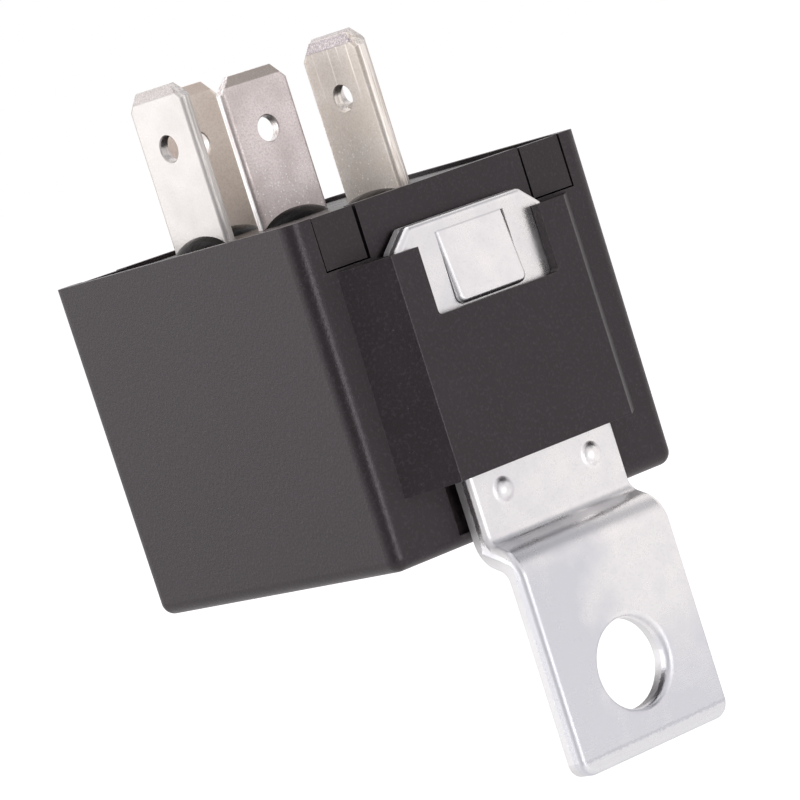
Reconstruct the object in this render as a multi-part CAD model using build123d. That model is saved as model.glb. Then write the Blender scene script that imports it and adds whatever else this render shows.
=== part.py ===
from build123d import *

import math
import os

# Five-blade changeover relay for a car, hung by a plated steel bracket.
# Millimetres, +Z up towards the blades. The origin is the centre of the bracket's fixing hole,
# half way through the sheet. +Y points from the bracket into the relay, +X is to the right.

# Bracket
sheet = 1.5
bracket_width = 14.2
foot_width = 14.6
flare_radius = 3.0
hole_diameter = 6.4
hole_to_lower_edge = 6.1
hole_to_jog = 9.35
jog_offset = 2.65
jog_slope = 24.0
bend_radius = 1.0
edge_rollover = 0.45
lower_corner_radius = 1.2
head_rise = 1.5
head_chamfer_across = 1.7
head_chamfer_down = 1.45
head_corner_radius = 0.6
tongue_width = 6.5
tongue_length = 5.25
tongue_lift = 0.55
tongue_corner_radius = 0.6
tongue_edge_radius = 0.35
tongue_slit = 0.05
tongue_to_sill = 0.15
dimple_pitch = 8.65
dimple_diameter = 1.7
dimple_rise = 0.5
dimple_foot_radius = 0.4
dimple_below_sleeve = 1.65
dimple_punch_diameter = 1.8

# Cover
hole_to_closed_end = 11.3
body_width = 28.0
body_height = 24.8
body_draft = 0.5
body_corner_radius = 1.2
closed_end_radius = 0.95
cavity_corner_radius = 0.6
rim_wall = 1.2
side_wall = 1.5
closed_end_wall = 1.3
recess_width = 15.3
recess_depth = 0.6
recess_above_closed_end = 0.85
bracket_to_face = 0.3

# Sleeve on the cover that takes the bracket
sleeve_above_closed_end = 4.6
sleeve_length = 16.1
sleeve_front_width = 16.7
sleeve_root_width = 22.3
sleeve_wall = 0.8
sleeve_edge_radius = 0.18
pocket_clearance = 0.05
pocket_side_clearance = 0.1
window_width = 11.65
window_depth = 4.9
window_corner_radius = 0.35
guide_rib_pitch = 10.0
guide_rib_width = 1.0
guide_rib_inset = 1.0

# Latches between base and cover
latch_inner = 7.85
latch_width = 4.15
latch_depth = 3.9
latch_inner_gap = 0.25
latch_outer_gap = 0.14
latch_end_gap = 0.12
latch_face_inset = 0.08
latch_below_rim = 0.05

# Base and its resin seal
base_below_rim = 0.55
base_thickness = 2.4
base_edge_clearance = 0.05
resin_below_rim = 0.3
resin_edge_clearance = 0.02
mound_length = 6.2
mound_width = 3.4
mound_rise_30 = 0.5
mound_rise_85 = 0.8
mound_rise_86 = 1.05
mound_rise_87 = 0.8
mound_rise_87a = 0.9
slot_clearance = 0.03

# Blades
blade_width = 6.3
blade_thickness = 0.8
blade_bevel_length = 0.75
blade_tip_thickness = 0.35
blade_chamfer_across = 1.1
blade_chamfer_down = 1.15
blade_edge_chamfer = 0.1
blade_rolled_edge = 0.36
blade_hole_diameter = 1.9
blade_hole_from_tip = 4.4
blade_hole_chamfer = 0.08
blade_rise_30 = 11.35
blade_rise_coil = 11.65
blade_rise_87 = 11.2
blade_rise_87a = 10.9
blade_row_offset = 2.4
blade_pitch_87 = 8.2
blade_pitch_30 = 9.75
blade_pitch_coil = 17.0
strip_bend_radius = 0.5

# Magnet system
magnet_clearance = 0.05
yoke_thickness = 1.5
yoke_width = 12.0
yoke_to_wall = 1.6
yoke_leg_length = 11.9
yoke_bend_radius = 0.5
yoke_end_above_closed_end = 7.2
bobbin_to_yoke = 0.4
core_diameter = 6.0
core_tenon_diameter = 4.0
pole_diameter = 9.5
pole_thickness = 1.3
pole_gap = 0.05
bobbin_tube_wall = 0.8
bobbin_flange_width = 13.0
bobbin_flange_thickness = 1.0
bobbin_corner_radius = 1.0
ear_length = 3.2
ear_width = 2.8
winding_diameter = 12.2
winding_end_gap = 0.05
tail_width = 1.6
tail_length = 5.0
lead_diameter = 0.3
lead_gap = 0.03
tenon_length_30 = 3.0
tenon_offset_30 = 0.6

# Armature, leaf spring and contacts
swing = 3.3
armature_thickness = 1.2
armature_width = 11.0
armature_length = 13.6
armature_gap = 0.03
leaf_thickness = 0.25
leaf_width = 10.0
leaf_finger_width = 4.5
leaf_finger_overhang = 2.0
leaf_bend_radius = 0.9
leaf_heel_clearance = 0.1
leaf_gap = 0.02
leaf_height = 7.8
rivet_diameter = 1.2
rivet_head_diameter = 2.0
rivet_head_height = 0.4
armature_rivet_pitch = 6.0
armature_rivet_from_hinge = 5.2
yoke_rivet_pitch = 5.0
yoke_rivet_rise = 5.4
contact_offset = 8.0
contact_diameter = 3.2
contact_thickness = 0.8
contact_shank_diameter = 1.6
contact_edge_radius = 0.15
contact_gap = 0.04
shelf_inner_reach = 1.7
strip_width_87a = 3.0
strip_offset_87a = 8.6

# Heights and planes that follow from the sizes above
upper_front_y = jog_offset - sheet / 2
upper_back_y = jog_offset + sheet / 2
face_y = upper_back_y + bracket_to_face
axis_y = face_y + body_width / 2
closed_end_z = hole_to_closed_end
rim_z = closed_end_z + body_height
sleeve_bottom_z = closed_end_z + sleeve_above_closed_end
sleeve_top_z = sleeve_bottom_z + sleeve_length
sill_z = sleeve_top_z - window_depth
bracket_top_z = sleeve_top_z + head_rise
tongue_end_z = sill_z + tongue_to_sill
tongue_root_z = tongue_end_z + tongue_length
pocket_front_y = upper_front_y - pocket_clearance
sleeve_front_y = pocket_front_y - sleeve_wall
recess_y = face_y + recess_depth
latch_bottom_z = rim_z - latch_depth
base_outer_z = rim_z - base_below_rim
base_inner_z = base_outer_z - base_thickness
resin_top_z = rim_z - resin_below_rim
rim_inner_half = body_width / 2 - rim_wall
base_half = rim_inner_half - base_edge_clearance
resin_half = rim_inner_half - resin_edge_clearance
row_y = axis_y + blade_row_offset
blade_87_y = row_y + blade_pitch_87
blade_30_y = row_y - blade_pitch_30
yoke_back_y = face_y + side_wall + yoke_to_wall
yoke_front_y = yoke_back_y + yoke_thickness
yoke_leg_z = base_inner_z - yoke_thickness
hinge_z = closed_end_z + yoke_end_above_closed_end
core_y = yoke_front_y + bobbin_to_yoke + bobbin_flange_width / 2
pole_face_z = hinge_z + pole_gap - armature_gap
pole_top_z = pole_face_z + pole_thickness
bobbin_bottom_z = pole_top_z + magnet_clearance
bobbin_top_z = yoke_leg_z - magnet_clearance
bobbin_bore_radius = core_diameter / 2 + magnet_clearance
bobbin_tube_radius = bobbin_bore_radius + bobbin_tube_wall
contact_y = axis_y + contact_offset
armature_top_z = hinge_z - armature_gap
armature_bottom_z = armature_top_z - armature_thickness
leaf_bottom_z = armature_bottom_z - leaf_thickness
leaf_end_y = contact_y + leaf_finger_overhang
tail_bottom_z = base_inner_z - tail_length
hinge = Axis((0, yoke_back_y, hinge_z), (1, 0, 0))

# Shelves that carry the fixed contacts: 87 over the moving contact, 87a under it at rest.
contact_reach = contact_y + contact_diameter / 2 - yoke_back_y
contact_below_hinge = hinge_z - leaf_bottom_z + contact_thickness
rest_angle = math.radians(swing)
rest_drop = contact_reach * math.sin(rest_angle) + contact_below_hinge * math.cos(rest_angle)
shelf_87_z = armature_bottom_z + contact_thickness + contact_gap + contact_thickness + blade_thickness / 2
shelf_87a_z = hinge_z - rest_drop - contact_gap - contact_thickness - blade_thickness / 2


def block(x_low, x_high, y_low, y_high, z_low, z_high):
    """A rectangular solid between two corners."""
    size = (x_high - x_low, y_high - y_low, z_high - z_low)
    return Pos(x_low, y_low, z_low) * Box(*size, align=(Align.MIN, Align.MIN, Align.MIN))


def bent_sheet(points, thickness, inner_radius, low, high, side=Plane.YZ):
    """Sheet folded along a line of points through its middle, from low to high across."""
    middle = FilletPolyline(*points, radius=inner_radius + thickness / 2)
    profile = side * trace(middle, line_width=thickness)
    across = side.z_dir * low
    return Pos(*across) * extrude(profile, amount=high - low, dir=side.z_dir)


def peg(radius, low, high, x, y):
    """An upright round peg."""
    return Pos(x, y, low) * Cylinder(radius, high - low, align=(Align.CENTER, Align.CENTER, Align.MIN))


def front_prism(outline):
    """A prism along Y through the bracket and the sleeve, from an outline drawn as x and z."""
    return extrude(Plane.XZ * outline, amount=jog_offset + 2 * sheet, both=True)


def slot_prism(width, bottom, top, corner_radius):
    """Such a prism, centred on x = 0, with its two lower corners rounded."""
    outline = Pos(0, (bottom + top) / 2) * Rectangle(width, top - bottom)
    return front_prism(fillet(outline.vertices().group_by(Axis.Y)[0], corner_radius))


def make_bracket():
    """Plate with a jog, a lanced spring tongue, two stop dimples and the fixing hole."""
    jog_top = hole_to_jog + jog_offset * math.tan(math.radians(jog_slope))
    points = [(0, -hole_to_lower_edge), (0, hole_to_jog), (jog_offset, jog_top), (jog_offset, bracket_top_z)]
    half = bracket_width / 2
    plate = bent_sheet(points, sheet, bend_radius, -foot_width, foot_width)

    # Seen from the front, the foot below the jog is a little wider and the head's corners are clipped.
    foot_half = foot_width / 2
    clipped_half = half - head_chamfer_across
    flare_top = jog_top + bend_radius
    outline = make_face(
        Polyline(
            (-foot_half, -hole_to_lower_edge),
            (foot_half, -hole_to_lower_edge),
            (foot_half, hole_to_jog),
            (half, flare_top),
            (half, bracket_top_z - head_chamfer_down),
            (clipped_half, bracket_top_z),
            (-clipped_half, bracket_top_z),
            (-half, bracket_top_z - head_chamfer_down),
            (-half, flare_top),
            (-foot_half, hole_to_jog),
            close=True,
        )
    )
    outline = fillet(outline.vertices().sort_by(Axis.Y)[2:6], flare_radius)
    outline = fillet(outline.vertices().group_by(Axis.Y)[0], lower_corner_radius)
    outline = fillet(outline.vertices().sort_by(Axis.Y)[-4:], head_corner_radius)
    plate &= front_prism(outline)

    # The punch leaves a rolled edge round the whole front, over the jog too, and in the hole.
    least_lean = math.sin(math.radians(jog_slope)) / 2
    front = plate.faces().filter_by(lambda face: face.normal_at().Y < -least_lean)
    outer_edges = [edge for edge in front.edges() if sum(edge in face.edges() for face in front) == 1]
    plate = fillet(outer_edges, edge_rollover)
    plate -= Rot(X=90) * Cylinder(hole_diameter / 2, 2 * sheet)
    plate = fillet(plate.faces().sort_by(Axis.Y)[0].edges().filter_by(GeomType.CIRCLE), edge_rollover)

    # Two dimples under the sleeve stop the bracket from being pushed further in.
    dimple_z = sleeve_bottom_z - dimple_below_sleeve
    crown = (dimple_diameter**2 / 4 + dimple_rise**2) / (2 * dimple_rise)
    for x in (-dimple_pitch / 2, dimple_pitch / 2):
        ball = Pos(x, upper_front_y + crown - dimple_rise, dimple_z) * Sphere(crown)
        plate += split(ball, Plane((0, upper_front_y, 0), z_dir=(0, -1, 0)), keep=Keep.TOP)
        foot = plate.edges().filter_by(GeomType.CIRCLE).sort_by_distance((x, upper_front_y, dimple_z))[0]
        plate = fillet(foot, dimple_foot_radius)
        punch = Rot(X=90) * Cylinder(dimple_punch_diameter / 2, 2 * dimple_rise)
        plate -= Pos(x, upper_back_y, dimple_z) * punch

    # The tongue is lanced on three sides and bent out, so its lower end catches the sill.
    section = make_face(
        Polyline(
            (upper_front_y, tongue_root_z),
            (upper_back_y, tongue_root_z),
            (upper_back_y - tongue_lift, tongue_end_z),
            (upper_front_y - tongue_lift, tongue_end_z),
            close=True,
        )
    )
    tongue = extrude(Plane.YZ * section, amount=tongue_width / 2, both=True)
    tongue &= slot_prism(tongue_width, tongue_end_z, tongue_root_z, tongue_corner_radius)
    free_edges = tongue.faces().sort_by(Axis.Y)[0].edges().sort_by(Axis.Z)[:-1]
    gap_width = tongue_width + 2 * tongue_slit
    gap_radius = tongue_corner_radius + tongue_slit
    plate -= slot_prism(gap_width, tongue_end_z - tongue_slit, tongue_root_z, gap_radius)
    return plate + fillet(free_edges, tongue_edge_radius)


def tapered_square(width, corner, top, height):
    """A square prism that narrows downwards with the mould's draft."""
    plane = Plane((0, axis_y, top), x_dir=(1, 0, 0), z_dir=(0, 0, -1))
    return extrude(plane * RectangleRounded(width, width, corner), amount=height, taper=body_draft)


def make_cover():
    """Open-topped moulding with a bracket sleeve and four latch notches at its rim."""
    outer = tapered_square(body_width, body_corner_radius, rim_z, body_height)
    outer = fillet(outer.faces().sort_by(Axis.Z)[0].edges(), closed_end_radius)

    # The sleeve's sides slant back to the face and end inside the wall.
    slant = (sleeve_root_width - sleeve_front_width) / 2 / (face_y - sleeve_front_y)
    inner_y = recess_y
    inner_half = sleeve_root_width / 2 + slant * (inner_y - face_y)
    front_half = sleeve_front_width / 2
    plan = make_face(
        Polyline(
            (-inner_half, inner_y),
            (-front_half, sleeve_front_y),
            (front_half, sleeve_front_y),
            (inner_half, inner_y),
            close=True,
        )
    )
    plan = fillet(plan.vertices().group_by(Axis.Y)[0], sleeve_edge_radius)
    sleeve = extrude(Pos(0, 0, sleeve_bottom_z) * plan, amount=sleeve_length)
    cover = outer + sleeve

    # Pocket for the bracket, and below it the shallow recess that the bracket slides in along.
    half = bracket_width / 2 + pocket_side_clearance
    cover -= block(-half, half, pocket_front_y, recess_y, sleeve_bottom_z, sleeve_top_z)
    recess_half = recess_width / 2
    recess_low = closed_end_z + recess_above_closed_end
    cover -= block(-recess_half, recess_half, sleeve_front_y, recess_y, recess_low, sleeve_bottom_z)

    # Window in the sleeve's front wall, open at the top.
    window = slot_prism(window_width, sill_z, sleeve_top_z + head_rise, window_corner_radius)
    cover -= window & block(-half, half, sleeve_front_y - sheet, pocket_front_y + sheet / 2, sill_z, rim_z)

    # Two ribs inside the sleeve keep the bracket against the front wall.
    for x in (-guide_rib_pitch / 2, guide_rib_pitch / 2):
        cover += block(
            x - guide_rib_width / 2,
            x + guide_rib_width / 2,
            upper_back_y + pocket_clearance,
            recess_y + recess_depth / 2,
            sleeve_bottom_z + guide_rib_inset,
            sleeve_top_z - guide_rib_inset,
        )

    # Cavity, with a ledge that the base sits on.
    cover -= tapered_square(2 * rim_inner_half, cavity_corner_radius, rim_z, rim_z - base_inner_z)
    cavity_height = base_inner_z - closed_end_z - closed_end_wall
    cavity_width = body_width - 2 * side_wall
    cover -= tapered_square(cavity_width, cavity_corner_radius, base_inner_z, cavity_height)

    for sx in (-1, 1):
        for sy in (-1, 1):
            x_low, x_high = sorted((sx * latch_inner, sx * (latch_inner + latch_width)))
            y_low, y_high = sorted((sy * (rim_inner_half - rim_wall), sy * body_width))
            cover -= block(x_low, x_high, axis_y + y_low, axis_y + y_high, latch_bottom_z, rim_z)
    return cover


def blade(tip_z, bottom_z, x, y, facing):
    """Tab with a bevelled tip, clipped corners and a detent hole, facing X or Y."""
    half = blade_width / 2
    side = Plane((0, 0, 0), x_dir=(0, 1, 0), z_dir=(1, 0, 0))
    front = make_face(
        Polyline(
            (-half, bottom_z),
            (half, bottom_z),
            (half, tip_z - blade_chamfer_down),
            (half - blade_chamfer_across, tip_z),
            (-half + blade_chamfer_across, tip_z),
            (-half, tip_z - blade_chamfer_down),
            close=True,
        )
    )
    tab = extrude(side * front, amount=blade_thickness / 2, both=True)
    tab = chamfer(tab.edges().filter_by(Axis.Z).group_by(Axis.X)[-1], blade_edge_chamfer)
    # The blanking punch rolls the outline of one face.
    rolled_face = tab.faces().sort_by(Axis.X)[0]
    tab = fillet(rolled_face.edges().sort_by(Axis.Z)[1:], blade_rolled_edge)
    thick, tip = blade_thickness / 2, blade_tip_thickness / 2
    section = make_face(
        Polyline(
            (-thick, bottom_z),
            (thick, bottom_z),
            (thick, tip_z - blade_bevel_length),
            (tip, tip_z),
            (-tip, tip_z),
            (-thick, tip_z - blade_bevel_length),
            close=True,
        )
    )
    tab &= extrude(Plane.XZ * section, amount=half, both=True)
    detent = Rot(Y=90) * Cylinder(blade_hole_diameter / 2, 2 * blade_thickness)
    tab -= Pos(0, 0, tip_z - blade_hole_from_tip) * detent
    tab = chamfer(tab.edges().filter_by(GeomType.CIRCLE), blade_hole_chamfer)
    turn = Rot(Z=90) if facing == "y" else Rot()
    return Pos(x, y, 0) * turn * tab


def riveted_hole(y, low, high):
    """Upright hole for a contact's shank."""
    return peg(contact_shank_diameter / 2, low, high, 0, y)


def make_terminal_30():
    """Common blade; its tenon is staked into the yoke's leg."""
    part = blade(rim_z + blade_rise_30, base_inner_z, 0, blade_30_y, "x")
    tenon_y = blade_30_y + tenon_offset_30
    half = blade_thickness / 2
    reach = tenon_length_30 / 2
    tenon = block(-half, half, tenon_y - reach, tenon_y + reach, yoke_leg_z, base_inner_z)
    return part + tenon


def make_coil_terminal(side):
    """Coil blade with a narrow tail that the winding's end is wrapped on."""
    x = side * blade_pitch_coil / 2
    part = blade(rim_z + blade_rise_coil, base_inner_z, x, row_y, "x")
    half = blade_thickness / 2
    reach = tail_width / 2
    return part + block(x - half, x + half, row_y - reach, row_y + reach, tail_bottom_z, base_inner_z)


def make_terminal_87():
    """Normally open blade; it runs down the far wall and turns in over the moving contact."""
    half = blade_width / 2
    inner_y = contact_y - shelf_inner_reach
    points = [(blade_87_y, base_inner_z), (blade_87_y, shelf_87_z), (inner_y, shelf_87_z)]
    strip = bent_sheet(points, blade_thickness, strip_bend_radius, -half, half)
    part = blade(rim_z + blade_rise_87, base_inner_z, 0, blade_87_y, "y") + strip
    return part - riveted_hole(contact_y, shelf_87_z - blade_thickness, shelf_87_z + blade_thickness)


def make_terminal_87a():
    """Normally closed blade; it passes beside the coil and turns in under the moving contact."""
    half = blade_width / 2
    low_y = contact_y - strip_width_87a / 2
    high_y = contact_y + strip_width_87a / 2
    turn_z = base_inner_z - blade_thickness / 2
    run = [(row_y, base_inner_z + base_thickness / 2), (row_y, turn_z), (high_y, turn_z)]
    strip = bent_sheet(run, blade_thickness, strip_bend_radius, -half, half)
    drop_x = strip_offset_87a
    path = [(0, turn_z), (drop_x, turn_z), (drop_x, shelf_87a_z), (-shelf_inner_reach, shelf_87a_z)]
    side = Plane((0, 0, 0), x_dir=(1, 0, 0), z_dir=(0, -1, 0))
    drop = bent_sheet(path, blade_thickness, strip_bend_radius, -high_y, -low_y, side)
    part = blade(rim_z + blade_rise_87a, run[0][1], 0, row_y, "y") + strip + drop
    return part - riveted_hole(contact_y, shelf_87a_z - blade_thickness, shelf_87a_z + blade_thickness)


def blade_places():
    """Each blade's x, y, which way its face points and how far the resin climbs up it."""
    coil_x = blade_pitch_coil / 2
    return [
        (-coil_x, row_y, "x", mound_rise_86),
        (coil_x, row_y, "x", mound_rise_85),
        (0, row_y, "y", mound_rise_87a),
        (0, blade_87_y, "y", mound_rise_87),
        (0, blade_30_y, "x", mound_rise_30),
    ]


def make_base():
    """Plate with a slot for each blade and four lugs that fill the cover's notches."""
    base = block(-base_half, base_half, axis_y - base_half, axis_y + base_half, base_inner_z, base_outer_z)
    base = fillet(base.edges().filter_by(Axis.Z), cavity_corner_radius)
    lug_outer = body_width / 2 - latch_face_inset
    for sx in (-1, 1):
        for sy in (-1, 1):
            near = sx * (latch_inner + latch_inner_gap)
            far = sx * (latch_inner + latch_width - latch_outer_gap)
            x_low, x_high = sorted((near, far))
            low, high = sorted((sy * rim_inner_half, sy * lug_outer))
            root, end = sorted((sy * (base_half - rim_wall), sy * rim_inner_half))
            top, bottom = rim_z - latch_below_rim, latch_bottom_z + latch_end_gap
            base += block(x_low, x_high, axis_y + low, axis_y + high, bottom, top)
            base += block(x_low, x_high, axis_y + root, axis_y + end, base_inner_z, base_outer_z)
    length = blade_width / 2 + slot_clearance
    gap = blade_thickness / 2 + slot_clearance
    for x, y, facing, _ in blade_places():
        dx, dy = (gap, length) if facing == "x" else (length, gap)
        base -= block(x - dx, x + dx, y - dy, y + dy, base_inner_z, base_outer_z)
    # The 87a strip turns inside the plate, so its slot opens downwards behind the blade.
    turn = strip_bend_radius + blade_thickness
    base -= block(-length, length, row_y, row_y + turn, base_inner_z, base_inner_z + turn)
    return base


def make_resin(blades):
    """Potting on the base, drawn up in a low mound round each blade."""
    seal = block(-resin_half, resin_half, axis_y - resin_half, axis_y + resin_half, base_outer_z, resin_top_z)
    seal = fillet(seal.edges().filter_by(Axis.Z), cavity_corner_radius)
    for x, y, facing, rise in blade_places():
        turn = 90 if facing == "x" else 0
        # The upper cap of an ellipsoid, cut half way between its middle and its top.
        spread = math.sqrt(4 / 3)
        dome = scale(Sphere(1), by=(spread * mound_length / 2, spread * mound_width / 2, 2 * rise))
        dome = split(dome, Plane((0, 0, rise), z_dir=(0, 0, 1)), keep=Keep.TOP)
        seal += Pos(x, y, resin_top_z - rise) * Rot(Z=turn) * dome
    for other in blades:
        seal -= other
    return seal


def make_yoke():
    """L of soft iron; the core and the common blade are staked into its leg."""
    middle = yoke_thickness / 2
    back = yoke_back_y + middle
    leg_z = base_inner_z - middle
    points = [(back, hinge_z), (back, leg_z), (yoke_back_y + yoke_leg_length, leg_z)]
    half = yoke_width / 2
    yoke = bent_sheet(points, yoke_thickness, yoke_bend_radius, -half, half)
    yoke -= peg(core_tenon_diameter / 2, yoke_leg_z, base_inner_z, 0, core_y)
    tenon_y = blade_30_y + tenon_offset_30
    slot = blade_thickness / 2
    reach = tenon_length_30 / 2
    yoke -= block(-slot, slot, tenon_y - reach, tenon_y + reach, yoke_leg_z, base_inner_z)
    for x in (-yoke_rivet_pitch / 2, yoke_rivet_pitch / 2):
        yoke -= yoke_rivet_shank(x)
    return yoke


def make_core():
    """Headed iron pin: pole shoe, stem through the coil, tenon through the yoke."""
    pole = peg(pole_diameter / 2, pole_face_z, pole_top_z, 0, core_y)
    pole = fillet(pole.edges(), pole_thickness / 8)
    stem = peg(core_diameter / 2, pole_top_z, yoke_leg_z, 0, core_y)
    return pole + stem + peg(core_tenon_diameter / 2, yoke_leg_z, base_inner_z, 0, core_y)


def flange(low, high):
    """Square bobbin cheek with rounded corners."""
    outline = RectangleRounded(bobbin_flange_width, bobbin_flange_width, bobbin_corner_radius)
    return extrude(Pos(0, core_y, low) * outline, amount=high - low)


def make_bobbin():
    """Moulded spool; two ears on its upper cheek hold the coil tails."""
    lower = flange(bobbin_bottom_z, bobbin_bottom_z + bobbin_flange_thickness)
    upper = flange(bobbin_top_z - bobbin_flange_thickness, bobbin_top_z)
    spool = lower + upper + peg(bobbin_tube_radius, bobbin_bottom_z, bobbin_top_z, 0, core_y)
    for side in (-1, 1):
        inner = side * (bobbin_flange_width / 2 - bobbin_corner_radius)
        outer = side * (bobbin_flange_width / 2 + ear_length)
        x_low, x_high = sorted((inner, outer))
        y_low, y_high = row_y - ear_width / 2, row_y + ear_width / 2
        spool += block(x_low, x_high, y_low, y_high, bobbin_top_z - bobbin_flange_thickness, bobbin_top_z)
        x = side * blade_pitch_coil / 2
        dx, dy = blade_thickness / 2 + slot_clearance, tail_width / 2 + slot_clearance
        spool -= block(x - dx, x + dx, row_y - dy, row_y + dy, bobbin_bottom_z, bobbin_top_z)
    return spool - peg(bobbin_bore_radius, bobbin_bottom_z, bobbin_top_z, 0, core_y)


def make_winding():
    """Enamelled copper wire, wound full between the cheeks."""
    low = bobbin_bottom_z + bobbin_flange_thickness + winding_end_gap
    high = bobbin_top_z - bobbin_flange_thickness - winding_end_gap
    wire = peg(winding_diameter / 2, low, high, 0, core_y)
    return wire - peg(bobbin_tube_radius, low, high, 0, core_y)


def make_lead(side):
    """Winding's end: it leaves the coil under the cheek and takes a turn round the tail."""
    r = lead_diameter / 2
    off = r + lead_gap
    x = blade_pitch_coil / 2
    near, far = x - blade_thickness / 2 - off, x + blade_thickness / 2 + off
    front, back = row_y - tail_width / 2 - off, row_y + tail_width / 2 + off
    start_z = bobbin_top_z - bobbin_flange_thickness - 2 * lead_diameter
    step = lead_diameter
    start_x = winding_diameter / 2 + off
    points = [
        (start_x, core_y, start_z),
        (start_x, front, start_z),
        (far, front, start_z - step),
        (far, back, start_z - 2 * step),
        (near, back, start_z - 3 * step),
        (near, front + step, start_z - 4 * step),
    ]
    path = FilletPolyline(*[(side * px, py, pz) for px, py, pz in points], radius=lead_diameter)
    start = Plane(origin=path @ 0, z_dir=path % 0)
    return sweep(start * Circle(r), path=path)


def swung(piece):
    """Turn a piece drawn with the armature pulled in to its rest position."""
    return piece.rotate(hinge, -swing)


def armature_rivet_places():
    """Centres of the two rivets through armature and leaf."""
    y = yoke_back_y + armature_rivet_from_hinge
    return [(x, y) for x in (-armature_rivet_pitch / 2, armature_rivet_pitch / 2)]


def make_armature():
    """Iron flap, held to the yoke's end by the leaf spring and chamfered at the heel."""
    half = armature_width / 2
    end_y = yoke_back_y + armature_length
    flap = block(-half, half, yoke_back_y, end_y, armature_bottom_z, armature_top_z)
    heel = flap.edges().filter_by(Axis.X).group_by(Axis.Z)[0].sort_by(Axis.Y)[0]
    flap = chamfer(heel, leaf_bend_radius + leaf_heel_clearance)
    for x, y in armature_rivet_places():
        flap -= peg(rivet_diameter / 2, armature_bottom_z, armature_top_z, x, y)
    return swung(flap)


def make_leaf():
    """Spring leaf: up the yoke's back, round the heel, under the armature to the contact."""
    half_thick = leaf_thickness / 2
    up_y = yoke_back_y - leaf_gap - half_thick
    middle_z = armature_bottom_z - half_thick
    tilt = math.radians(swing)
    end = Vector(0, leaf_end_y - yoke_back_y, middle_z - hinge_z).rotate(Axis.X, -swing) + hinge.position
    corner_z = end.Z + (end.Y - up_y) * math.tan(tilt)
    points = [(up_y, hinge_z + leaf_height), (up_y, corner_z), (end.Y, end.Z)]
    half = leaf_width / 2
    leaf = bent_sheet(points, leaf_thickness, leaf_bend_radius, -half, half)
    # Ahead of the armature the leaf narrows to a finger.
    shoulder = yoke_back_y + armature_length
    for side in (-1, 1):
        x_low, x_high = sorted((side * leaf_finger_width / 2, side * leaf_width))
        leaf -= block(x_low, x_high, shoulder, leaf_end_y + leaf_width, closed_end_z, hinge_z)
    for x, y in armature_rivet_places():
        leaf -= swung(peg(rivet_diameter / 2, leaf_bottom_z - leaf_thickness, armature_bottom_z, x, y))
    contact_hole = riveted_hole(contact_y, leaf_bottom_z - leaf_thickness, armature_bottom_z + leaf_thickness)
    leaf -= swung(contact_hole)
    for x in (-yoke_rivet_pitch / 2, yoke_rivet_pitch / 2):
        leaf -= yoke_rivet_shank(x)
    return leaf


def make_armature_rivets():
    """Two rivets join the leaf to the armature."""
    rivets = []
    for x, y in armature_rivet_places():
        shank = peg(rivet_diameter / 2, leaf_bottom_z, armature_top_z, x, y)
        head = peg(rivet_head_diameter / 2, leaf_bottom_z - rivet_head_height, leaf_bottom_z, x, y)
        head = fillet(head.edges().group_by(Axis.Z)[0], rivet_head_height / 2)
        rivets.append(swung(shank + head))
    return Compound(children=rivets)


def yoke_rivet_shank(x):
    """Level hole or shank through leaf and yoke."""
    z = hinge_z + yoke_rivet_rise
    low, high = yoke_back_y - leaf_gap - leaf_thickness, yoke_front_y
    shank = Rot(X=90) * Cylinder(rivet_diameter / 2, high - low)
    return Pos(x, (low + high) / 2, z) * shank


def make_yoke_rivets():
    """Two rivets join the leaf to the yoke's back."""
    rivets = []
    low = yoke_back_y - leaf_gap - leaf_thickness
    for x in (-yoke_rivet_pitch / 2, yoke_rivet_pitch / 2):
        head = Rot(X=90) * Cylinder(rivet_head_diameter / 2, rivet_head_height)
        head = fillet(head.edges().group_by(Axis.Y)[0], rivet_head_height / 2)
        seat = Pos(x, low - rivet_head_height / 2, hinge_z + yoke_rivet_rise)
        rivets.append(yoke_rivet_shank(x) + seat * head)
    return Compound(children=rivets)


def contact_head(low, outer_up):
    """Round silver head with a softened outer edge."""
    head = peg(contact_diameter / 2, low, low + contact_thickness, 0, contact_y)
    rings = head.edges().filter_by(GeomType.CIRCLE).group_by(Axis.Z)
    return fillet(rings[-1] if outer_up else rings[0], contact_edge_radius)


def make_moving_contact():
    """Double-faced rivet through the leaf's finger."""
    upper = contact_head(armature_bottom_z, True)
    lower = contact_head(leaf_bottom_z - contact_thickness, False)
    shank = peg(contact_shank_diameter / 2, leaf_bottom_z, armature_bottom_z, 0, contact_y)
    return swung(upper + lower + shank)


def make_fixed_contact(shelf_z, faces_up):
    """Rivet in a shelf, its head towards the moving contact."""
    half = blade_thickness / 2
    shank = peg(contact_shank_diameter / 2, shelf_z - half, shelf_z + half, 0, contact_y)
    low = shelf_z + half if faces_up else shelf_z - half - contact_thickness
    return shank + contact_head(low, faces_up)


terminals = {
    "terminal_30": make_terminal_30(),
    "terminal_85": make_coil_terminal(1),
    "terminal_86": make_coil_terminal(-1),
    "terminal_87": make_terminal_87(),
    "terminal_87a": make_terminal_87a(),
}
pieces = {
    "cover": make_cover(),
    "mounting_bracket": make_bracket(),
    "base": make_base(),
    "resin_seal": make_resin(terminals.values()),
    "yoke": make_yoke(),
    "core": make_core(),
    "bobbin": make_bobbin(),
    "coil_winding": make_winding(),
    "coil_lead_85": make_lead(1),
    "coil_lead_86": make_lead(-1),
    "armature": make_armature(),
    "contact_spring": make_leaf(),
    "armature_rivets": make_armature_rivets(),
    "yoke_rivets": make_yoke_rivets(),
    "moving_contact": make_moving_contact(),
    "fixed_contact_87": make_fixed_contact(shelf_87_z, False),
    "fixed_contact_87a": make_fixed_contact(shelf_87a_z, True),
}
pieces.update(terminals)

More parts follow.
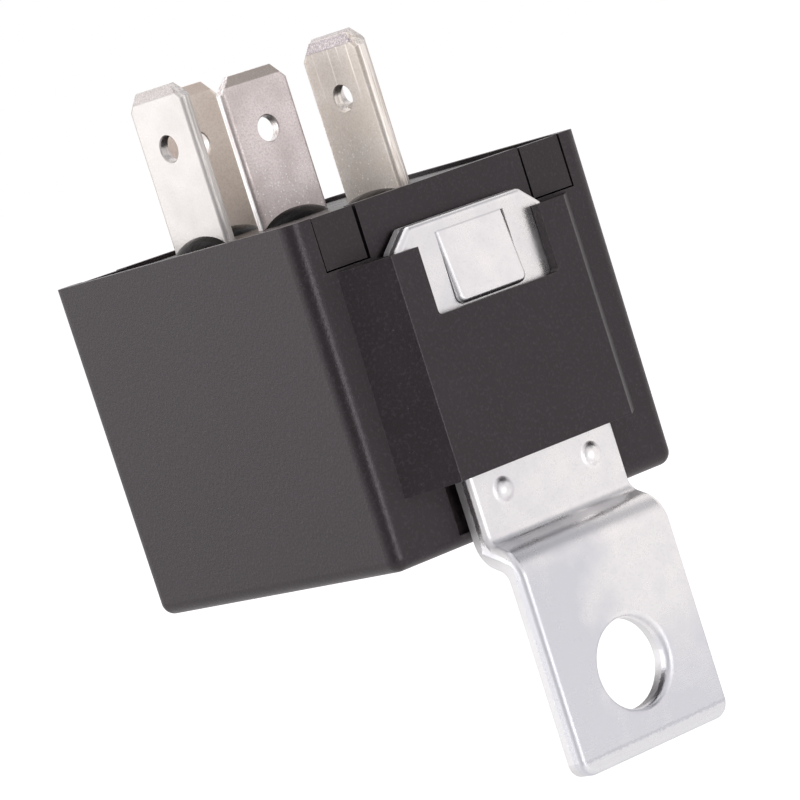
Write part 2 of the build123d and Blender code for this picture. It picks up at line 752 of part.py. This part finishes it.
os.makedirs("parts", exist_ok=True)
for name, piece in pieces.items():
    export_step(piece, f"parts/{name}.step")
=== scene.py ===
import math

import bmesh
import bpy
from mathutils import Euler, Matrix, Vector


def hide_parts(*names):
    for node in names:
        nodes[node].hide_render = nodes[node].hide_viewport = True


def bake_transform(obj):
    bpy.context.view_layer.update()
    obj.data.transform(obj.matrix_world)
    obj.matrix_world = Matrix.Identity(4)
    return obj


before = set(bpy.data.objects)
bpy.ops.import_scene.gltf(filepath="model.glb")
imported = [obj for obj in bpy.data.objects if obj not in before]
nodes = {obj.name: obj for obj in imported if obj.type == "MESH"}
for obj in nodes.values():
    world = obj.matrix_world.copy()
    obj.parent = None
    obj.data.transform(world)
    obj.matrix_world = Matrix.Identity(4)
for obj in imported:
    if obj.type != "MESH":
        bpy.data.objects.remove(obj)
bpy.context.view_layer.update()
scene = bpy.context.scene
scene.view_settings.view_transform = "Standard"


# Camera: a long lens from the relay's front left, a little above it and rolled, as in the photograph.
# The lens and place were solved from the case's edges.
camera_data = bpy.data.cameras.new("camera")
camera_data.lens = 223.525
camera_data.sensor_width = 36.0
camera_data.clip_start = 0.01
camera = bpy.data.objects.new("camera", camera_data)
camera.location = (-0.224958, -0.256810, 0.045733)
camera.rotation_euler = Euler([math.radians(angle) for angle in (85.8584, 17.5596, -40.8769)])
scene.collection.objects.link(camera)
scene.camera = camera


# Studio: a white room that is dark behind the photographer and dim high above the front, so that flat metal
# mirrors white and its bends go grey. The floor is pale paper, which lights the front from below.
def add_node(tree, kind, inputs=None, **settings):
    """Adds a shader node, sets it, and feeds its sockets with values or with other sockets."""
    made = tree.nodes.new(kind)
    for name, value in settings.items():
        setattr(made, name, value)
    for name, value in (inputs or {}).items():
        if isinstance(value, bpy.types.NodeSocket):
            tree.links.new(value, made.inputs[name])
        else:
            made.inputs[name].default_value = value
    return made


def calculate(tree, operation, first, second=0.0, third=0.0):
    """One Math node's result."""
    step = add_node(tree, "ShaderNodeMath", {0: first, 1: second, 2: third}, operation=operation)
    return step.outputs[0]


def multiply(tree, first, second):
    """The product of two values."""
    return calculate(tree, "MULTIPLY", first, second)


def add_scaled(tree, base, value, weight):
    """The base plus a weighted value."""
    return calculate(tree, "MULTIPLY_ADD", value, weight, base)


def ramp(tree, value, start, end, low=0.0, high=1.0, smooth=True):
    """Maps a value from one range to another and holds it at the ends."""
    kind = "SMOOTHSTEP" if smooth else "LINEAR"
    sockets = {"Value": value, "From Min": start, "From Max": end, "To Min": low, "To Max": high}
    return add_node(tree, "ShaderNodeMapRange", sockets, interpolation_type=kind).outputs[0]


def vector_step(tree, operation, first, second=None):
    """One Vector Math node's outputs."""
    sockets = {0: first} if second is None else {0: first, 1: second}
    return add_node(tree, "ShaderNodeVectorMath", sockets, operation=operation).outputs


def blend_colours(tree, mask, first, second):
    """Goes from the first colour to the second as the mask goes from 0 to 1."""
    return add_node(tree, "ShaderNodeMix", {0: mask, 6: first, 7: second}, data_type="RGBA").outputs[2]


def dim_towards(tree, direction, centre, start, end, least):
    """A factor that falls from 1 to the least value as a direction comes near the centre."""
    nearness = vector_step(tree, "DOT_PRODUCT", direction, centre)["Value"]
    return ramp(tree, nearness, start, end, 1.0, least)


def ray_factors(tree):
    """One factor for the rays that make up the picture's background, and one for reflections."""
    rays = add_node(tree, "ShaderNodeLightPath").outputs
    return calculate(tree, "MAXIMUM", rays["Is Camera Ray"], rays["Is Transmission Ray"]), rays["Is Glossy Ray"]


behind_camera = (-0.82, -0.57, 0.0)
above_front = (0.36, -0.36, 0.86)
dark_side_fall = (0.80, 0.95, 0.30)  # nearness where it begins and ends, and the light that is left
dim_front_fall = (0.86, 0.97, 0.35)

world = bpy.data.worlds.new("studio")
scene.world = world
world.use_nodes = True
sky = world.node_tree
sky.nodes.clear()
seen, glossy = ray_factors(sky)
white = add_node(sky, "ShaderNodeBackground", {"Color": (1, 1, 1, 1), "Strength": 1.0})
outward = add_node(sky, "ShaderNodeTexCoord").outputs["Generated"]
dark_side = dim_towards(sky, outward, behind_camera, *dark_side_fall)
dim_front = dim_towards(sky, outward, above_front, *dim_front_fall)
shade = multiply(sky, dark_side, dim_front)
room_strength = multiply(sky, calculate(sky, "MULTIPLY_ADD", glossy, 0.55, 0.40), shade)
hue = blend_colours(sky, shade, (0.88, 0.92, 1.0, 1), (1.0, 0.965, 0.965, 1))
room = add_node(sky, "ShaderNodeBackground", {"Color": hue, "Strength": room_strength})
choice = add_node(sky, "ShaderNodeMixShader", {0: seen, 1: room.outputs[0], 2: white.outputs[0]})
add_node(sky, "ShaderNodeOutputWorld", {"Surface": choice.outputs[0]})


def lamp(name, place, target, width, height, brightness):
    """A soft rectangular lamp that faces a target and looks as bright as a surface of that value."""
    data = bpy.data.lights.new(name, "AREA")
    data.shape = "RECTANGLE"
    data.size = width
    data.size_y = height
    data.energy = brightness * math.pi * width * height
    made = bpy.data.objects.new(name, data)
    made.location = place
    made.rotation_euler = (Vector(target) - Vector(place)).to_track_quat("-Z", "Y").to_euler()
    made.visible_camera = False
    scene.collection.objects.link(made)


middle = (0, 0.015, 0.02)
lamp("back_left_softbox", (-0.62, 0.55, 0.16), middle, 0.9, 0.6, 0.95)
lamp("top_softbox", (0.05, 0.12, 0.7), middle, 0.6, 0.6, 0.9)
lamp("low_front_strip", (-0.056, -0.30, -0.008), middle, 0.10, 0.046, 12.0)

floor_half_width = 6.0
floor_height = -0.03
floor_mesh = bpy.data.meshes.new("floor")
shape = bmesh.new()
bmesh.ops.create_grid(shape, x_segments=1, y_segments=1, size=floor_half_width)
shape.to_mesh(floor_mesh)
shape.free()
floor = bpy.data.objects.new("floor", floor_mesh)
floor_mesh.transform(Matrix.Translation((0, 0, floor_height)))
scene.collection.objects.link(floor)

floor_material = bpy.data.materials.new("floor_paper")
floor_material.use_nodes = True
paper = floor_material.node_tree
paper.nodes.clear()
seen, glossy = ray_factors(paper)
matt = add_node(paper, "ShaderNodeBsdfDiffuse", {"Color": (0.8, 0.8, 0.8, 1)})
place = add_node(paper, "ShaderNodeNewGeometry").outputs["Position"]
outward = vector_step(paper, "NORMALIZE", place)[0]
dark_side = dim_towards(paper, outward, behind_camera, *dark_side_fall)
unseen = multiply(paper, calculate(paper, "MULTIPLY_ADD", glossy, 0.27, 0.25), dark_side)
strength = add_node(paper, "ShaderNodeMix", {0: seen, 2: unseen, 3: 0.8}).outputs[0]
glow = add_node(paper, "ShaderNodeEmission", {"Color": (1, 0.98, 0.98, 1), "Strength": strength})
both = add_node(paper, "ShaderNodeAddShader", {0: matt.outputs[0], 1: glow.outputs[0]})
add_node(paper, "ShaderNodeOutputMaterial", {"Surface": both.outputs[0]})
floor_mesh.materials.append(floor_material)


# Cover: the relay's black case, injection moulded in glass-filled nylon with a fine spark-eroded grain.
# It is one shell, open at the blades, and the bracket is pushed into the sleeve on its front.
def millimetres(tree):
    """The piece's own coordinates in millimetres."""
    place = add_node(tree, "ShaderNodeTexCoord").outputs["Object"]
    return add_node(tree, "ShaderNodeMapping", {"Vector": place, "Scale": (1000, 1000, 1000)}).outputs[0]


def noise(tree, vector, scale, detail, roughness):
    """Noise that varies from 0 to 1, with features of about 1 / scale."""
    sockets = {"Vector": vector, "Scale": scale, "Detail": detail, "Roughness": roughness}
    return add_node(tree, "ShaderNodeTexNoise", sockets).outputs["Fac"]


def bump(tree, height, distance, strength):
    """A normal that follows a height, with the distance in metres."""
    sockets = {"Height": height, "Distance": distance, "Strength": strength}
    return add_node(tree, "ShaderNodeBump", sockets).outputs[0]


def tinted(colour, factor):
    """A colour made lighter or darker, but never as bright as pure white."""
    return [min(part * factor, 0.97) for part in colour[:3]] + [1]


def new_material(name):
    """A material with an empty node tree."""
    made = bpy.data.materials.new(name)
    made.use_nodes = True
    made.node_tree.nodes.clear()
    return made, made.node_tree


def close_material(tree, sockets):
    """Gives the material its one Principled shader."""
    shader = add_node(tree, "ShaderNodeBsdfPrincipled", sockets)
    add_node(tree, "ShaderNodeOutputMaterial", {"Surface": shader.outputs[0]})


def new_group(name, inputs, output):
    """A shader node group: its tree, its inputs, and the one socket that takes its result."""
    tree = bpy.data.node_groups.new(name, "ShaderNodeTree")
    for label, kind, value in inputs:
        socket = tree.interface.new_socket(name=label, in_out="INPUT", socket_type=kind)
        if value is not None:
            socket.default_value = value
    tree.interface.new_socket(name=output, in_out="OUTPUT", socket_type="NodeSocketFloat")
    return tree, tree.nodes.new("NodeGroupInput").outputs, tree.nodes.new("NodeGroupOutput").inputs[output]


def use_group(tree, group, inputs):
    """Places a shader node group, feeds it, and returns its result."""
    return add_node(tree, "ShaderNodeGroup", inputs, node_tree=group).outputs[0]


# The edge mask is 1 where the surface turns sharply within a small radius.
edges, given, result = new_group("edge_mask", [("Radius", "NodeSocketFloat", 0.0003)], "Mask")
rounded = add_node(edges, "ShaderNodeBevel", {"Radius": given["Radius"]}, samples=6).outputs[0]
plain = add_node(edges, "ShaderNodeNewGeometry").outputs["Normal"]
likeness = vector_step(edges, "DOT_PRODUCT", rounded, plain)["Value"]
edges.links.new(ramp(edges, likeness, 0.995, 0.8), result)

# Dust is a share of round spots of uneven size, with sizes and spacing in the vector's units.
dust_inputs = [
    ("Vector", "NodeSocketVector", None),
    ("Spacing", "NodeSocketFloat", 1.0),
    ("Size", "NodeSocketFloat", 0.06),
    ("Share", "NodeSocketFloat", 0.3),
]
dust, given, result = new_group("dust", dust_inputs, "Mask")
cell = calculate(dust, "DIVIDE", 1.0, given["Spacing"])
cell_sockets = {"Vector": given["Vector"], "Scale": cell, "Randomness": 1.0}
cells = add_node(dust, "ShaderNodeTexVoronoi", cell_sockets).outputs
chance = add_node(dust, "ShaderNodeSeparateColor", {0: cells["Color"]}).outputs
chosen = calculate(dust, "LESS_THAN", chance[0], given["Share"])
spot_radius = multiply(dust, chance[1], given["Size"])
inside = calculate(dust, "LESS_THAN", multiply(dust, cells["Distance"], given["Spacing"]), spot_radius)
dust.links.new(multiply(dust, inside, chosen), result)


def moulded_nylon(name, colour, roughness, speck_share):
    """Black glass-filled nylon: eroded grain, pale edges from edge wear and a painted highlight, and a little
    dust in the grain.
    """
    material, tree = new_material(name)
    place = millimetres(tree)
    coarse = noise(tree, place, 4.5, 2.0, 0.6)
    grain = noise(tree, place, 13.0, 2.0, 0.6)
    broad = noise(tree, place, 0.30, 3.0, 0.55)
    edge = use_group(tree, edges, {"Radius": 0.00006})
    specks = use_group(tree, dust, {"Vector": place, "Spacing": 1.9, "Size": 0.05, "Share": speck_share})
    fibres = use_group(tree, dust, {"Vector": place, "Spacing": 0.5, "Size": 0.06, "Share": 0.4})
    tone = blend_colours(tree, ramp(tree, broad, 0.35, 0.7), colour, tinted(colour, 1.3))
    tone = blend_colours(tree, ramp(tree, coarse, 0.50, 0.72, 0.0, 0.5), tone, (0.052, 0.042, 0.048, 1))
    tone = blend_colours(tree, multiply(tree, fibres, 0.6), tone, (0.09, 0.08, 0.095, 1))
    # Sharp edges are painted paler: partly edge wear, partly a painted highlight along the edge.
    tone = blend_colours(tree, multiply(tree, edge, 0.5), tone, (0.14, 0.13, 0.135, 1))
    tone = blend_colours(tree, specks, tone, (0.3, 0.28, 0.28, 1))
    gloss = calculate(tree, "MULTIPLY_ADD", broad, 0.08, roughness)
    gloss = add_scaled(tree, gloss, coarse, 0.14)
    close_material(
        tree,
        {
            "Base Color": tone,
            "Roughness": gloss,
            "Normal": bump(tree, add_scaled(tree, grain, coarse, 2.5), 0.000014, 0.6),
            "Specular IOR Level": 0.52,
            "Specular Tint": (1.0, 0.93, 0.99, 1),
        },
    )
    return material


def dress(node_name, material):
    """Gives a CAD node its finish."""
    mesh = nodes[node_name].data
    mesh.materials.clear()
    mesh.materials.append(material)


dress("cover", moulded_nylon("case_nylon", (0.013, 0.009, 0.011, 1), 0.26, 0.2))


# Base: the moulded plate that the blades pass through. Its four lugs snap into the notches of the rim.
# It is the same kind of nylon, from a smoother mould.
dress("base", moulded_nylon("base_nylon", (0.011, 0.008, 0.009, 1), 0.30, 0.1))


# Resin seal: black epoxy, poured round the blades over the base. It creeps up each blade and sets with a
# wet gloss and a few open bubbles.
resin, tree = new_material("resin")
place = millimetres(tree)
swell = noise(tree, place, 0.9, 3.0, 0.55)
crust = noise(tree, place, 5.0, 3.0, 0.7)
pits = use_group(tree, dust, {"Vector": place, "Spacing": 1.6, "Size": 0.10, "Share": 0.25})
surface = add_scaled(tree, add_scaled(tree, swell, crust, 0.12), pits, -0.3)
close_material(
    tree,
    {
        "Base Color": blend_colours(tree, pits, (0.006, 0.0045, 0.004, 1), (0.10, 0.09, 0.085, 1)),
        "Roughness": ramp(tree, swell, 0.3, 0.7, 0.24, 0.36),
        "Normal": bump(tree, surface, 0.00018, 0.5),
        "Specular IOR Level": 0.12,
    },
)
dress("resin_seal", resin)


# Bracket: a strap of 1.5 mm steel, blanked, lanced, bent and zinc plated, then pushed into the cover's sleeve.
# The plating is bright with a soft mottle, and duller to the left and at the foot. The cut edges are smooth next
# to the front and torn to a greyer grain behind.
scratch_inputs = [
    ("Vector", "NodeSocketVector", None),
    ("Fine", "NodeSocketFloat", 14.0),
    ("Stretch", "NodeSocketVector", (1.0, 1.0, 0.05)),
]
scratches, given, result = new_group("scratches", scratch_inputs, "Height")
drawn = vector_step(scratches, "MULTIPLY", given["Vector"], given["Stretch"])[0]
scratches.links.new(noise(scratches, drawn, given["Fine"], 4.0, 0.7), result)

# The torn band lies behind the middle of the sheet's thickness, with a ragged limit.
sheared_inputs = [
    ("Across", "NodeSocketFloat", 0.0),
    ("Facing", "NodeSocketFloat", 0.0),
    ("Vector", "NodeSocketVector", None),
]
sheared, given, result = new_group("sheared_edge", sheared_inputs, "Fracture")
side = ramp(sheared, calculate(sheared, "ABSOLUTE", given["Facing"]), 0.55, 0.2)
ragged = calculate(sheared, "SUBTRACT", noise(sheared, given["Vector"], 3.0, 4.0, 0.7), 0.5)
limit = add_scaled(sheared, given["Across"], ragged, 0.35)
sheared.links.new(multiply(sheared, ramp(sheared, limit, 0.05, 0.12), side), result)


def split(tree, vector):
    """A vector's X, Y and Z."""
    return add_node(tree, "ShaderNodeSeparateXYZ", {0: vector}).outputs


def size_of(tree, value):
    """A value without its sign."""
    return calculate(tree, "ABSOLUTE", value)


# Heights in mm from the fixing hole, and the jog between the foot's plane and the strap's.
lower_edge = -6.1
jog_low = 9.35
jog_high = 10.53
jog_offset = 2.65
tongue_root = 32.5
tongue_half_width = 3.25

bracket_zinc, tree = new_material("bracket_zinc")
place = millimetres(tree)
spot = split(tree, place)
turned = split(tree, add_node(tree, "ShaderNodeTexCoord").outputs["Normal"])
middle_y = ramp(tree, spot["Z"], jog_low, jog_high, 0.0, jog_offset, smooth=False)
across = calculate(tree, "SUBTRACT", spot["Y"], middle_y)
torn = use_group(tree, sheared, {"Across": across, "Facing": turned["Y"], "Vector": place})
edgewise = ramp(tree, size_of(tree, turned["Y"]), 0.5, 0.2)
front = ramp(tree, turned["Y"], -0.5, -0.8)
# The tongue's sides are the only cut edges that stand out in front of the strap. They are painted near white over
# the torn grey, as a painted highlight of the light they mirror.
lanced = multiply(tree, ramp(tree, across, -0.78, -0.84), edgewise)
rollover = ramp(tree, multiply(tree, size_of(tree, turned["X"]), size_of(tree, turned["Y"])), 0.08, 0.32)
mottle = noise(tree, place, 0.45, 3.0, 0.55)
left_waver = noise(tree, place, 0.16, 2.0, 0.5)
haze = noise(tree, place, 6.0, 3.0, 0.65)
rolled = use_group(tree, scratches, {"Vector": place, "Fine": 5.0, "Stretch": (0.1, 1.0, 1.0)})
hair = use_group(tree, scratches, {"Vector": place, "Fine": 7.0, "Stretch": (1.0, 1.0, 0.12)})
sparkle = use_group(tree, dust, {"Vector": place, "Spacing": 0.8, "Size": 0.06, "Share": 0.25})
# Darker towards the left of the foot and towards its lower edge, together with the plating's mottle.
left = ramp(tree, add_scaled(tree, spot["X"], left_waver, 14.0), 2.0, 9.0, 0.9, 0.0)
left = multiply(tree, left, ramp(tree, spot["Z"], 13.0, 7.0, 0.25, 1.0))
low = ramp(tree, spot["Z"], 6.0, -5.0, 0.05, 0.9)
darker_share = add_scaled(tree, calculate(tree, "MAXIMUM", left, low), ramp(tree, mottle, 0.30, 0.75), 0.34)
tone = blend_colours(tree, darker_share, (0.97, 0.95, 0.945, 1), (0.71, 0.72, 0.765, 1))
tone = blend_colours(tree, ramp(tree, haze, 0.50, 0.72, 0.0, 0.4), tone, (0.72, 0.72, 0.745, 1))
# Scattered pale specks on the plating are painted glints.
tone = blend_colours(tree, multiply(tree, sparkle, 0.5), tone, (0.98, 0.98, 0.98, 1))
tone = blend_colours(tree, torn, tone, (0.80, 0.80, 0.81, 1))
tone = blend_colours(tree, lanced, tone, (0.97, 0.97, 0.97, 1))

# Along the foot's lower edge a paler band on the rolled edge is a painted highlight, with a painted shade line
# just above it; a dark line at the tongue's root is painted shade in its crease.
droop = add_scaled(tree, spot["Z"], haze, 0.5)
from_line = size_of(tree, calculate(tree, "SUBTRACT", droop, lower_edge + 1.35))
line = multiply(tree, ramp(tree, from_line, 0.16, 0.04), front)
tone = blend_colours(tree, multiply(tree, line, 0.45), tone, (0.52, 0.52, 0.56, 1))
painted_edge_highlight = multiply(tree, ramp(tree, droop, lower_edge + 1.3, lower_edge + 1.1), front)
tone = blend_colours(tree, multiply(tree, painted_edge_highlight, 0.6), tone, (0.86, 0.86, 0.87, 1))
# Painted shade in the crease where the tongue turns out of the strap.
from_root = size_of(tree, calculate(tree, "SUBTRACT", spot["Z"], tongue_root))
within = ramp(tree, size_of(tree, spot["X"]), tongue_half_width + 0.05, tongue_half_width - 0.05)
painted_root_shade = multiply(tree, multiply(tree, ramp(tree, from_root, 0.09, 0.03), within), front)
tone = blend_colours(tree, multiply(tree, painted_root_shade, 0.5), tone, (0.50, 0.50, 0.53, 1))

gloss = add_scaled(tree, ramp(tree, mottle, 0.3, 0.7, 0.20, 0.28), haze, 0.10)
gloss = add_scaled(tree, gloss, rollover, 0.22)
gloss = add_scaled(tree, gloss, calculate(tree, "MAXIMUM", torn, multiply(tree, lanced, 1.6)), 0.25)
height = add_scaled(tree, add_scaled(tree, haze, hair, 0.4), torn, 1.5)
height = add_scaled(tree, height, multiply(tree, rolled, low), 4.0)
normal = bump(tree, height, 0.000010, 0.6)
close_material(tree, {"Base Color": tone, "Roughness": gloss, "Metallic": 1.0, "Normal": normal})
dress("mounting_bracket", bracket_zinc)


# Blades: five tabs blanked from 0.8 mm brass and tin plated, with coined tips and a small round hole.
# Plating left a fine grain, the coining left the tips rough, and some were scraped from tip to hole in use.
def tinned_blade(name, axis, tip, bright, dull, dulled, tip_colour, porous, spatter, scrapes):
    """Tin over brass for a blade that faces along one axis and ends at the given height in mm."""
    material, tree = new_material(name)
    place = millimetres(tree)
    turned = split(tree, add_node(tree, "ShaderNodeTexCoord").outputs["Normal"])
    height_mm = split(tree, place)["Z"]
    face = ramp(tree, size_of(tree, turned[axis]), 0.35, 0.75)
    side = calculate(tree, "SUBTRACT", 1.0, face)
    coined = ramp(tree, height_mm, tip - 0.82, tip - 0.72)
    low = ramp(tree, height_mm, tip - 4.0, tip - 9.5)
    rolled = ramp(tree, size_of(tree, multiply(tree, turned["X"], turned["Y"])), 0.08, 0.32)
    cloud = noise(tree, place, 0.35, 3.0, 0.55)
    grain = noise(tree, place, 6.5, 3.0, 0.75)
    pores = noise(tree, place, 9.0, 4.0, 0.8)
    lines = use_group(tree, scratches, {"Vector": place, "Fine": 7.0, "Stretch": (1.0, 1.0, 0.035)})
    drops = use_group(tree, dust, {"Vector": place, "Spacing": 0.26, "Size": 0.085, "Share": 0.6})
    drops = multiply(tree, drops, multiply(tree, low, spatter))
    scrape = use_group(tree, scratches, {"Vector": place, "Fine": 2.6, "Stretch": (1.0, 1.0, 0.03)})
    scraped_length = ramp(tree, height_mm, tip - 6.0, tip - 2.0, 0.0, scrapes)
    scrape = multiply(tree, ramp(tree, scrape, 0.60, 0.66), scraped_length)

    whiter = tinted(bright, 1.3)
    tone = blend_colours(tree, ramp(tree, cloud, 0.30, 0.70, 0.0, dulled), bright, dull)
    tone = blend_colours(tree, ramp(tree, grain, 0.40, 0.66, 0.0, 0.65 * dulled), tone, tinted(dull, 0.78))
    tone = blend_colours(tree, drops, tone, whiter)
    tone = blend_colours(tree, scrape, tone, whiter)
    rough_tip = blend_colours(tree, ramp(tree, pores, 0.40, 0.66, 0.0, porous), tip_colour, whiter)
    tone = blend_colours(tree, coined, tone, rough_tip)
    striped = blend_colours(tree, ramp(tree, lines, 0.40, 0.56), dull, whiter)
    tone = blend_colours(tree, side, tone, striped)
    gloss = add_scaled(tree, ramp(tree, cloud, 0.3, 0.7, 0.22, 0.30), grain, 0.16)
    gloss = add_scaled(tree, gloss, coined, 0.18)
    gloss = add_scaled(tree, gloss, rolled, 0.20)
    height = add_scaled(tree, grain, multiply(tree, lines, side), 3.0)
    height = add_scaled(tree, height, multiply(tree, pores, coined), 3.5 * porous)
    height = add_scaled(tree, height, drops, 1.0)
    normal = bump(tree, height, 0.000014, 0.6)
    close_material(tree, {"Base Color": tone, "Roughness": gloss, "Metallic": 1.0, "Normal": normal})
    return material


clean_tin = (0.625, 0.603, 0.59, 1)
# Blade, facing axis, tip height, bright tin, dull tin, how dulled, coined tip, how porous, spattered and scraped.
for blade, *finish in (
    ("30", "X", 47.45, (0.73, 0.69, 0.655, 1), (0.65, 0.59, 0.53, 1), 0.8, (0.40, 0.36, 0.40, 1), 0.8, 0.8, 0.9),
    ("85", "X", 47.75, clean_tin, (0.60, 0.55, 0.50, 1), 0.7, (0.50, 0.47, 0.48, 1), 0.7, 0.4, 0.3),
    ("86", "X", 47.75, clean_tin, (0.60, 0.575, 0.56, 1), 0.3, (0.50, 0.47, 0.46, 1), 0.7, 0.1, 0.0),
    # 87's bright and dull tin are partly its own warmer plating and partly painted light, set lighter to make up
    # for the shade the other blades throw on it.
    ("87", "Y", 47.3, (0.97, 0.89, 0.82, 1), (0.90, 0.79, 0.70, 1), 0.7, (0.66, 0.57, 0.50, 1), 0.2, 0.2, 0.0),
    ("87a", "Y", 47.0, (0.86, 0.79, 0.78, 1), (0.70, 0.63, 0.62, 1), 1.0, (0.42, 0.37, 0.34, 1), 0.15, 0.9, 0.0),
):
    dress("terminal_" + blade, tinned_blade("blade_tin_" + blade, *finish))


# Magnet iron: the yoke, the core with its pole, and the armature, in soft iron with a satin nickel flash.
# The core is riveted into the yoke, and the armature swings at the yoke's heel.
def plain_metal(name, colour, second, roughness, fine):
    """A metal with a slight cloud, fine grain and tumbled edges."""
    material, tree = new_material(name)
    place = millimetres(tree)
    cloud = noise(tree, place, 0.6, 3.0, 0.6)
    grain = noise(tree, place, fine, 3.0, 0.7)
    edge = use_group(tree, edges, {"Radius": 0.00012})
    tone = blend_colours(tree, ramp(tree, cloud, 0.35, 0.68), colour, second)
    tone = blend_colours(tree, multiply(tree, edge, 0.4), tone, (0.9, 0.9, 0.9, 1))
    gloss = add_scaled(tree, ramp(tree, cloud, 0.3, 0.7, roughness, roughness + 0.08), grain, 0.12)
    normal = bump(tree, grain, 0.00001, 0.5)
    close_material(tree, {"Base Color": tone, "Roughness": gloss, "Metallic": 1.0, "Normal": normal})
    return material


soft_iron = plain_metal("soft_iron", (0.58, 0.56, 0.53, 1), (0.48, 0.47, 0.45, 1), 0.3, 6.0)
for node_name in ("yoke", "core", "armature"):
    dress(node_name, soft_iron)


# Bobbin: the spool that the wire is wound on, moulded in natural nylon, with an ear for each coil tail.
# It slides over the core.
bobbin_nylon, tree = new_material("bobbin_nylon")
place = millimetres(tree)
cloud = noise(tree, place, 0.5, 3.0, 0.5)
grain = noise(tree, place, 7.0, 3.0, 0.6)
close_material(
    tree,
    {
        "Base Color": blend_colours(tree, cloud, (0.72, 0.68, 0.57, 1), (0.62, 0.57, 0.46, 1)),
        "Roughness": ramp(tree, grain, 0.3, 0.7, 0.4, 0.5),
        "Normal": bump(tree, grain, 0.00002, 0.4),
        "Subsurface Weight": 0.1,
        "Subsurface Scale": 0.0005,
    },
)
dress("bobbin", bobbin_nylon)


# Coil: fine enamelled copper wire, wound on the bobbin in close layers. Its two ends are wrapped round the
# blades' tails and soldered.
wire_pitch = 0.16
enamel, tree = new_material("enamelled_copper")
place = millimetres(tree)
cloud = noise(tree, place, 0.9, 3.0, 0.6)
turn = calculate(tree, "SINE", multiply(tree, split(tree, place)["Z"], 2 * math.pi / wire_pitch))
close_material(
    tree,
    {
        "Base Color": blend_colours(tree, cloud, (0.62, 0.24, 0.10, 1), (0.50, 0.17, 0.07, 1)),
        "Roughness": ramp(tree, cloud, 0.3, 0.7, 0.2, 0.32),
        "Metallic": 0.85,
        "Coat Weight": 0.5,
        "Coat Roughness": 0.1,
        "Normal": bump(tree, size_of(tree, turn), 0.00004, 0.8),
    },
)
for node_name in ("coil_winding", "coil_lead_85", "coil_lead_86"):
    dress(node_name, enamel)


# Leaf spring: phosphor bronze, riveted to the yoke's back and to the armature. It bends round the heel as the
# armature swings.
# Here it is a plain copy of the solid with its doubled points merged, and the solid itself is hidden.
spring_bronze = plain_metal("spring_bronze", (0.80, 0.56, 0.34, 1), (0.70, 0.47, 0.28, 1), 0.26, 9.0)
dress("contact_spring", spring_bronze)
leaf_mesh = nodes["contact_spring"].data.copy()
shape = bmesh.new()
shape.from_mesh(leaf_mesh)
bmesh.ops.remove_doubles(shape, verts=shape.verts, dist=1e-7)
shape.to_mesh(leaf_mesh)
shape.free()
leaf = bpy.data.objects.new("leaf_spring", leaf_mesh)
scene.collection.objects.link(leaf)
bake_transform(leaf)
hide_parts("contact_spring")


# Rivets: brass, closed cold over the leaf and the iron.
# Two hold the leaf to the armature and two hold it to the yoke.
rivet_brass = plain_metal("rivet_brass", (0.78, 0.66, 0.40, 1), (0.70, 0.57, 0.33, 1), 0.24, 8.0)
for node_name in ("armature_rivets", "yoke_rivets"):
    dress(node_name, rivet_brass)


# Contacts: silver alloy rivets with a fine satin face.
# One is closed through the leaf's finger, and one each through the shelves of 87 and 87a.
contact_silver = plain_metal("contact_silver", (0.86, 0.85, 0.83, 1), (0.76, 0.75, 0.73, 1), 0.3, 10.0)
for node_name in ("moving_contact", "fixed_contact_87", "fixed_contact_87a"):
    dress(node_name, contact_silver)
